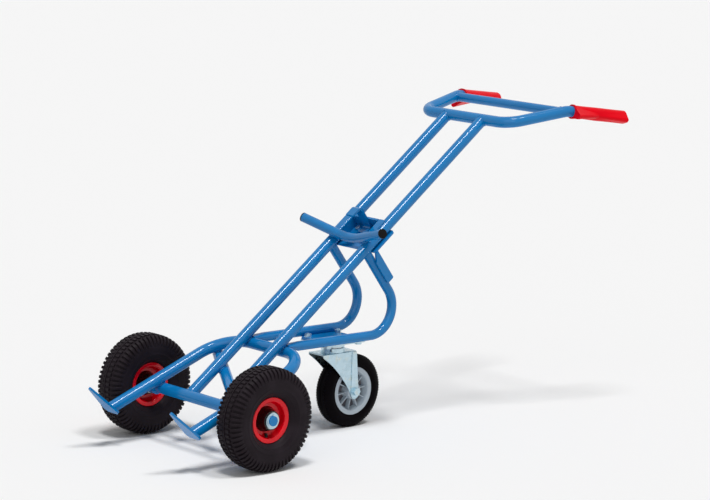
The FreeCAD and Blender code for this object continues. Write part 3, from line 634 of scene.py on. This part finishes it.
def makeLugs(centre):
    startPiece()
    shallow, deep = tyreShape["lugDepths"]
    first, last = [math.radians(angle) for angle in tyreShape["lugAngles"]]
    pivot = centre + Vector((tyreShape["lugCentre"][0], 0, tyreShape["lugCentre"][1])) * mm
    foot = pivot + Vector((math.cos(first), 0, math.sin(first))) * ((shallow + deep) / 2 * mm)
    bpy.ops.mesh.primitive_plane_add(size=1, location=foot, rotation=(0, -first, 0))
    lugs = bpy.context.object
    lugs.scale = ((deep - shallow) * mm, tyreShape["lugWidth"] * mm, 1)
    settle(lugs)
    editAll()
    bpy.ops.mesh.spin(steps=tyreShape["lugSteps"], angle=last - first, center=pivot, axis=(0, 1, 0))
    mergeAll(tyreShape["lugMerge"])
    bpy.ops.mesh.fill_holes(sides=tyreShape["lugEndSides"])
    bpy.ops.mesh.select_all(action="SELECT")
    bpy.ops.mesh.normals_make_consistent(inside=False)
    bpy.ops.mesh.bevel(offset=tyreShape["lugBevel"] * mm, segments=1)
    repeatRound(centre, tyreShape["lugCount"])
    return lugs


def makeBlocks(centre, shape):
    near, far = shape["blockSpan"]
    low, high = shape["blockDepths"]
    place = centre + Vector(((near + far) / 2, 0, (low + high) / 2)) * mm
    blocks = addBar(place, (far - near, shape["blockWidth"], high - low))
    editAll()
    bpy.ops.mesh.bevel(offset=shape["blockBevel"] * mm, segments=1)
    bpy.ops.mesh.select_all(action="SELECT")
    halfStep = math.pi / shape["blockCount"]
    bpy.ops.transform.rotate(value=halfStep, orient_axis="X", center_override=centre)
    repeatRound(centre, shape["blockCount"])
    return blocks


def makeTyres():
    leftCentre = boxCentre("tyre_left")
    rightCentre = boxCentre("tyre_right")
    carcass = spinWheel(leftCentre, tyreShape["outside"] + tyreShape["inside"], tyreShape["steps"])
    left = joinPieces(carcass, makeLugs(leftCentre), makeBlocks(leftCentre, tyreShape))
    right = left.copy()
    right.data = left.data.copy()
    bpy.context.scene.collection.objects.link(right)
    right.location = rightCentre
    for tyre, side in ((left, "left"), (right, "right")):
        finishPiece(tyre, "treadTyre" + side.capitalize(), "tyreBlack", "wheel_" + side,
                    tyreShape["smoothAngle"])
        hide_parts("tyre_" + side)


makeTyres()

# Caster tyre: a rounded solid band with a grooved crown and fine cross ribs
casterTyreShape = {
    "outside": [(0, 96.9), (1.2, 96.9), (1.6, 95.6), (3.4, 95.6), (3.8, 97.1), (9.5, 97.2),
                (14.5, 95.9), (18.4, 92.9), (21.4, 88.2), (23.2, 82.4), (23.9, 76.0), (23.6, 70.6),
                (23.0, 69.8), (23.2, 68.6), (22.6, 66.4), (22, 64)],
    "steps": 96,
    "smoothAngle": 40,
    "blockSpan": (9.0, 16.6),
    "blockDepths": (90.0, 96.9),
    "blockWidth": 4.2,
    "blockBevel": 0.9,
    "blockCount": 84,
}


def makeCasterTyre():
    centre = boxCentre("caster_tyre")
    band = spinWheel(centre, casterTyreShape["outside"], casterTyreShape["steps"])
    tyre = joinPieces(band, makeBlocks(centre, casterTyreShape))
    finishPiece(tyre, "casterTyreBand", "casterRubber", "caster_wheel",
                casterTyreShape["smoothAngle"])
    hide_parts("caster_tyre")


makeCasterTyre()

# Caster rim: a broad ring, a barrel that slopes to the web, a hub and thin ribs from hub to barrel
casterRimShape = {
    "section": [(0, 14.1), (26.4, 14.1), (26.4, 20.6), (25.4, 21.8), (7.5, 22.6), (4.6, 23.6),
                (3.0, 26.0), (3.0, 43.5), (3.9, 45.9), (6.4, 47.2), (18.6, 50.4), (21.0, 51.4),
                (21.8, 52.6), (22.0, 53.8), (22.0, 63.2), (21.2, 64.0)],
    "steps": 96,
    "smoothAngle": 40,
    "ribSpan": (20.5, 49.5),
    "ribDepth": 38,
    "ribOuterShare": 0.86,
    "ribThickness": 2.6,
    "ribBevel": 0.6,
    "ribBevelSteps": 2,
    "ribCount": 10,
    "ribTurn": 10.5,
}


def makeCasterRim():
    shape = casterRimShape
    centre = boxCentre("caster_rim")
    rim = spinWheel(centre, shape["section"], shape["steps"])
    near, far = shape["ribSpan"]
    middle = centre + Vector((0, 0, (near + far) / 2)) * mm
    ribs = addBar(middle, (shape["ribDepth"], shape["ribThickness"], far - near))
    for vertex in ribs.data.vertices:
        vertex.select = vertex.co.z > middle.z
    bpy.ops.object.mode_set(mode="EDIT")
    bpy.ops.transform.resize(value=(shape["ribOuterShare"], 1, 1), center_override=centre)
    bpy.ops.mesh.select_all(action="SELECT")
    bpy.ops.mesh.bevel(offset=shape["ribBevel"] * mm, segments=shape["ribBevelSteps"])
    bpy.ops.mesh.select_all(action="SELECT")
    turn = math.radians(shape["ribTurn"])
    bpy.ops.transform.rotate(value=turn, orient_axis="X", center_override=centre)
    goRound(centre, shape["ribCount"])
    closeEdit()
    rim = joinPieces(rim, ribs)
    finishPiece(rim, "casterWheelRim", "casterGrey", "caster_wheel",
                shape["smoothAngle"])
    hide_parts("caster_rim")


makeCasterRim()

# Valve: rubber root, stem and a cap, pointing at the hub
valveShape = {
    "outside": [(0, 0), (0, 6.4), (1.6, 6.4), (3.2, 5.6), (6.4, 4.3), (8.0, 4.0), (8.2, 3.1),
                (9.0, 3.1), (9.2, 3.9), (10.0, 4.0), (13.6, 4.0), (14.5, 3.4), (14.8, 0)],
    "steps": 28,
    "smoothAngle": 40,
}


def makeValves():
    for side in ("left", "right"):
        low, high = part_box("valve_" + side)
        foot = Vector(((low[0] + high[0]) / 2, (low[1] + high[1]) / 2, low[2]))
        valve = spinSection(foot, valveShape["outside"], valveShape["steps"],
                            turning["valveAxis"], turning["valveOut"])
        finishPiece(valve, "valveStem" + side.capitalize(), "valveBlack", "wheel_" + side,
                    valveShape["smoothAngle"])
        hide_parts("valve_" + side)


makeValves()

# Weld beads: the line where two tubes meet, drawn out into a rippled bead.
# A tube is a point from the axle's middle, a way and a radius.
weldShape = {
    "railAngle": 37.7, "railSetback": 9.1, "railX": 67.5, "railRadius": 15, "railLength": 1103,
    "forkAngle": 21.1, "forkRise": 29.5, "forkX": 164.5, "forkBack": 234.06, "forkFront": 169,
    "braceHigh": 193, "braceLow": 46, "braceDrop": 29.5,
    "bendX": 152.5, "bendAlong": 185.4, "bendTurn": 29.2,
    "toeAngle": 42.7, "toeThickness": 6,
    "standOnRail": 585, "smallRadius": 12.5,
    "cradleOnRail": 604, "cradleAngle": 18, "cradleTouch": 28.391,
    "handleX": 163, "handleSplay": 14.4, "handleRise": 9.3, "crossbarAlong": 169.28,
    "steps": 40, "lyingSwell": 1.4, "beadRadius": 2.0, "ripple": 0.5, "sides": 2,
    "pathMerge": 0.01, "smoothAngle": 60,
}


def inPlane(degrees):
    angle = math.radians(degrees)
    along = Vector((0, math.cos(angle), math.sin(angle)))
    across = Vector((0, -math.sin(angle), math.cos(angle)))
    return along, across


def weldTubes():
    shape = weldShape
    railUp, railFront = inPlane(shape["railAngle"])
    forkRear, forkTop = inPlane(shape["forkAngle"])
    sideways = Vector((1, 0, 0))
    railFoot = railFront * -shape["railSetback"]
    forkFoot = forkTop * shape["forkRise"]
    big = shape["railRadius"]
    small = shape["smallRadius"]
    tubes = {"axle": (Vector(), sideways, big),
             "handleBar": (railFoot + railUp * shape["railLength"], sideways, big),
             "forkBar": (forkFoot + forkRear * shape["forkBack"], sideways, big)}
    braceDrop = forkTop * -shape["braceDrop"]
    braceHigh = forkFoot + forkRear * shape["braceHigh"] - sideways * shape["forkX"] + braceDrop
    braceLow = forkFoot + forkRear * shape["braceLow"] + sideways * shape["railX"] + braceDrop
    tubes["brace"] = (braceHigh, (braceLow - braceHigh).normalized(), big)
    bendTurn = math.radians(shape["bendTurn"])
    bendPlace = forkFoot + forkRear * shape["bendAlong"] - sideways * shape["bendX"]
    bendWay = sideways * math.sin(bendTurn) + forkRear * math.cos(bendTurn)
    tubes["forkBend"] = (bendPlace, bendWay, big)
    splay = math.radians(shape["handleSplay"])
    rise = math.radians(shape["handleRise"])
    cradleAngle = math.radians(shape["cradleAngle"])
    for side, sign in (("Left", 1), ("Right", -1)):
        rail = railFoot + sideways * (sign * shape["railX"])
        tubes["rail" + side] = (rail, railUp, big)
        tubes["fork" + side] = (forkFoot + sideways * (sign * shape["forkX"]), forkRear, big)
        tubes["stand" + side] = (rail + railUp * shape["standOnRail"], railFront, small)
        cradleWay = sideways * (sign * math.cos(cradleAngle)) + railFront * math.sin(cradleAngle)
        cradlePlace = rail + railUp * shape["cradleOnRail"] + railFront * shape["cradleTouch"]
        tubes["cradle" + side] = (cradlePlace, cradleWay, small)
        corner = railFoot + railUp * shape["railLength"] + sideways * (sign * shape["handleX"])
        armWay = Vector((sign * math.sin(splay), math.cos(splay) * math.cos(rise),
                         math.cos(splay) * math.sin(rise)))
        tubes["arm" + side] = (corner, armWay, big)
        tubes["crossbar" + side] = (corner + armWay * shape["crossbarAlong"], sideways * sign, small)
    return tubes


def skinPoints(tube, swell):
    place, way, radius = tube
    side = way.orthogonal().normalized()
    other = way.cross(side)
    for number in range(weldShape["steps"]):
        turn = math.tau * number / weldShape["steps"]
        yield place + (side * math.cos(turn) + other * math.sin(turn)) * (radius + swell)


def meetingLine(first, second, end):
    # where the skin of the first tube runs into the second: on its near side (-1) or far side (1),
    # or 0 where the tubes only lie against each other and the bead goes round the place
    swell = 0.0 if end else weldShape["lyingSwell"]
    way = first[1]
    secondPlace, secondWay, secondRadius = second
    flat = way - secondWay * way.dot(secondWay)
    near = []
    far = []
    for skin in skinPoints(first, swell):
        gap = skin - secondPlace
        gap = gap - secondWay * gap.dot(secondWay)
        half = gap.dot(flat) / flat.dot(flat)
        rest = half * half - (gap.dot(gap) - (secondRadius + swell) ** 2) / flat.dot(flat)
        near.append(skin + way * (-half - math.sqrt(rest)) if rest >= 0 else None)
        far.append(skin + way * (-half + math.sqrt(rest)) if rest >= 0 else None)
    if None not in near:
        return (far if end > 0 else near), True
    # only part of the turn meets: start just after the part that misses
    start = [place for place in range(len(near)) if near[place] and not near[place - 1]][0]
    near = [point for point in near[start:] + near[:start] if point]
    far = [point for point in far[start:] + far[:start] if point]
    if end:
        return (far if end > 0 else near), False
    return near + far[::-1], True


def toeLine(fork):
    # where the fork's end stands on its toe plate
    place, way = fork[:2]
    toeUnder = inPlane(180 - weldShape["toeAngle"])[1]
    onPlate = place - way * weldShape["forkFront"] - toeUnder * weldShape["toeThickness"]
    points = [skin + way * ((onPlate - skin).dot(toeUnder) / way.dot(toeUnder))
              for skin in skinPoints(fork, 0.0)]
    return points, True


def makeBead(points, closed, seed):
    axle = boxCentre("axle_rod")
    spots = [axle + point * mm for point in points]
    startPoint(spots[0])
    drawThrough(spots + spots[:1] if closed else spots)
    mergeAll(weldShape["pathMerge"])
    bpy.ops.object.mode_set(mode="OBJECT")
    bpy.ops.object.convert(target="CURVE")
    bead = bpy.context.object
    bead.data.bevel_depth = weldShape["beadRadius"] * mm
    bead.data.bevel_resolution = weldShape["sides"]
    bead.data.use_fill_caps = True
    bpy.ops.object.convert(target="MESH")
    bead = bpy.context.object
    editAll()
    bpy.ops.transform.vertex_random(offset=weldShape["ripple"] * mm, normal=1.0, seed=seed)
    closeEdit()
    return bead


def makeWelds():
    tubes = weldTubes()
    joints = [("brace", "forkBend", 0), ("brace", "railRight", 0), ("brace", "railLeft", -1)]
    for side in ("Left", "Right"):
        joints += [("rail" + side, "handleBar", -1), ("rail" + side, "axle", 1),
                   ("stand" + side, "rail" + side, -1), ("crossbar" + side, "arm" + side, -1),
                   ("fork" + side, "axle", 0), ("rail" + side, "forkBar", 0),
                   ("cradle" + side, "rail" + side, 0)]
    paths = [meetingLine(tubes[first], tubes[second], end) for first, second, end in joints]
    paths += [toeLine(tubes["forkLeft"]), toeLine(tubes["forkRight"])]
    beads = [makeBead(points, closed, number) for number, (points, closed) in enumerate(paths)]
    welds = joinPieces(*beads)
    finishPiece(welds, "weldBeads", "blueStove", "frame", weldShape["smoothAngle"])


makeWelds()
